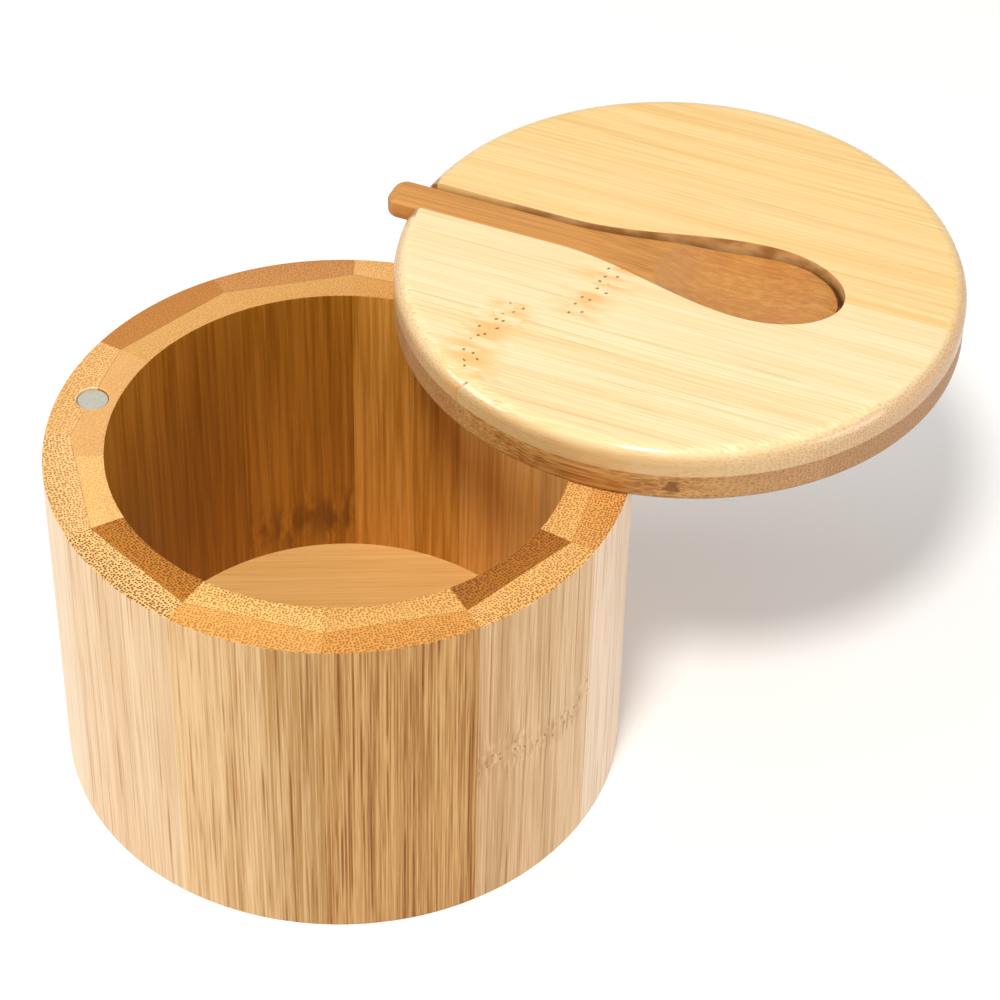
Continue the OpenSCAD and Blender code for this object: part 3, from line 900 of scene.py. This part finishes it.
# Tones along the fibres, light and dark; streaks and contrast; then the place of a culm joint along the
# strip, its stain and its dots
TOP_STRIPS = [
    ("#f0d59a", "#e8c07a", 0.2, 0.5, -500, 0, 0),
    ("#f1d393", "#e6b76a", 0.3, 0.6, -500, 0, 0),
    ("#f2d394", "#e6ba72", 0.3, 0.6, -500, 0, 0),
    ("#f3dfb1", "#eccc94", 0.3, 0.6, -10.0, 0.85, 0.8),
    ("#f3dfb1", "#e9c789", 0.4, 0.7, -20.3, 0.85, 0.85),
    ("#f2dcac", "#e8c588", 0.4, 0.6, -500, 0, 0),
]
for index, (light, dark, streaks, contrast, joint_at, stain, dots) in enumerate(TOP_STRIPS):
    strip = cut_strip(top_board, f"lid_top_board_{index + 1}", seams[index], seams[index + 1])
    mark_grain(strip, (0, 0, 0), (1, 0, 0), (0, 0, 1), (0, 1, 0))
    mark_groove(strip)
    place_on_lid(strip)
    tree, shader, grain, cut_across = finish_bamboo(
        strip, index + 61.0, light, dark, "#d4b084", "#a0703c", streaks, 0.5, contrast=contrast,
        joint_at=joint_at, joint_width=7.0, stain=stain, dots=dots, stain_tone="#ecb266",
        coat=0.6, coat_roughness=0.12, bump=0.01
    )
    # Painted shade: where the edge turns down along the fibres, below its highlight, it is painted darker
    height = lay(tree, "SeparateXYZ", grain).node.outputs[1]
    side = ramp(tree, height, 7.3, 8.9, 0.65, 0.0)
    side = calc(tree, "MULTIPLY", side, calc(tree, "SUBTRACT", 1.0, cut_across))
    laid_over(tree, shader, side, colour("#b6864a"))
    # The groove's wall is coloured a darker, mottled brown
    wall = lay(tree, "Attribute", attribute_name="groove").node.outputs["Fac"]
    wall_mottle = ramp(tree, noise(tree, scaled(tree, grain, (0.3, 0.3, 0.2)), 2.0), 0.35, 0.65)
    laid_over(tree, shader, wall, mixed(tree, wall_mottle, colour("#c89c66"), colour("#9c6c3a")))
    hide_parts(f"lid_top_strip_{index + 1}")
    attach(strip, "lid")
bpy.data.objects.remove(top_board)


# Spoon
# Carved from one darker strip of bamboo: a flat handle with softened edges that widens to a bowl.
# The dish is a shallow round cut that runs out over the bowl's sides.
HANDLE_T, BOWL_T, DISH, DISH_LEN, DISH_W = 3.8 * MM, 2.9 * MM, 1.4 * MM, 26 * MM, 22 * MM
TIP_ROUND, SOFT = 1.8 * MM, 0.5 * MM
DISH_Y = BOWL_Y - 0.3 * NOSE
OVER, EDGES, UNDER = 24, 4, 24
RING = OVER + 2 * EDGES + UNDER


def dish_share(x, y):
    """How deep the dish is at a place in the bowl, from 0 outside it to 1 in its middle."""
    return max(0.0, 1 - (x / (DISH_W / 2)) ** 2 - ((y - DISH_Y) / (DISH_LEN / 2)) ** 2)


def spoon_top(y):
    return HANDLE_T + (BOWL_T - HANDLE_T) * eased((y - NECK_Y) / (0.8 * NECK))


def squared(value, power):
    return math.copysign(abs(value) ** power, value)


def spoon_ring(half, y):
    """Points round the spoon at one place: over the top and its two soft edges, then back underneath."""
    top = spoon_top(y)
    side, flat = top - SOFT, half - SOFT
    power = 0.4 + 0.4 * eased((y - NECK_Y) / NECK)
    turns = [math.radians(90 * i / EDGES) for i in range(EDGES)]
    upper = [(flat + SOFT * math.cos(a), side + SOFT * math.sin(a)) for a in turns]
    upper += [(flat - 2 * flat * i / OVER, top) for i in range(OVER + 1)]
    upper += [(-flat - SOFT * math.sin(a), side + SOFT * math.cos(a)) for a in turns[1:] + [math.pi / 2]]
    lower = [(half * squared(math.cos(a), power), side + side * squared(math.sin(a), power))
             for a in (math.pi + math.pi * i / UNDER for i in range(1, UNDER))]
    full = min(1.0, 0.72 + 0.28 * math.sqrt(min(1.0, (y - TIP_Y) / TIP_ROUND)),
               0.6 + 0.4 * math.sqrt(max(0.0, min(1.0, (BOWL_Y + NOSE - y) / BOWL_T))))
    points = [Vector((x, y, top / 2 + (z - top / 2) * full)) for x, z in upper + lower]
    for point in points[: len(upper)]:
        point.z -= DISH * dish_share(point.x, y)
    return points


half_handle = HANDLE_W / 2
stations = [(half_handle - TIP_ROUND * (1 - math.sin(a)), TIP_Y + TIP_ROUND * (1 - math.cos(a)))
            for a in (math.radians(15 * i) for i in range(7))]
stations += [(half_width(y), y)
             for y in (TIP_Y + TIP_ROUND + (NECK_Y - TIP_Y - TIP_ROUND) * i / 6 for i in range(1, 7))]
stations += [(half_width(y), y) for y in (NECK_Y + NECK * i / 60 for i in range(1, 61))]
stations += [(BOWL_W / 2 * math.cos(a), BOWL_Y + NOSE * math.sin(a))
             for a in (math.radians(84 * i / 28) for i in range(1, 29))]
rings = [spoon_ring(half, y) for half, y in stations]
fresh()
bpy.ops.mesh.primitive_grid_add(x_subdivisions=RING, y_subdivisions=len(rings) - 1)
spoon = bpy.context.object
spoon.name = "bamboo_spoon"
for number, vertex in enumerate(spoon.data.vertices):
    station, step = divmod(number, RING + 1)
    vertex.co = rings[station][step % RING]
into_edit(spoon)
bpy.ops.mesh.remove_doubles(threshold=1e-6)
bpy.ops.mesh.fill_holes(sides=0)
bpy.ops.mesh.select_all(action="SELECT")
bpy.ops.mesh.normals_make_consistent(inside=False)
fresh()
dished = spoon.data.attributes.new("dish", "FLOAT", "POINT")
for vertex, mark in zip(spoon.data.vertices, dished.data):
    place = vertex.co
    mark.value = dish_share(place.x, place.y) if place.z > BOWL_T / 2 else 0.0
spoon.data.transform(Matrix.Translation((-OFF_MIDDLE, 0, LID_LOW_T + 0.1 * MM)))
sanded(spoon)
mark_grain(spoon, (0, 0, 0), (1, 0, 0), (0, 0, 1), (0, 1, 0))
place_on_lid(spoon)
tree, shader, grain, _ = finish_bamboo(
    spoon, 71.0, "#d29650", "#b67a3a", "#a8713c", "#8a5020", 0.4, 0.5, contrast=0.7, coat=0.1
)
# The dish cuts across the fibres, so it is flecked; where it slopes down from the neck it is painted greyer
# and darker, as painted shade
inside = ramp(tree, lay(tree, "Attribute", attribute_name="dish").node.outputs["Fac"], 0.0, 0.1)
along = lay(tree, "SeparateXYZ", grain).node.outputs[2]
fleck = ramp(tree, noise(tree, scaled(tree, grain, (1.1, 1.1, 0.6)), 3.0, 0.6), 0.4, 0.65, 0.4, 0.0)
laid_over(tree, shader, calc(tree, "MULTIPLY", inside, fleck), colour("#b26a30"))
# Painted shade on the dish's slope near the neck
painted_slope_shade = ramp(tree, along, -5.0, 8.0, 0.4, 0.0)
laid_over(tree, shader, calc(tree, "MULTIPLY", inside, painted_slope_shade), colour("#b88a5c"))
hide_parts("spoon")
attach(spoon, "spoon")

for cutter in (magnet_hole, pin_hole, bore, lid_magnet_hole):
    bpy.data.objects.remove(cutter)
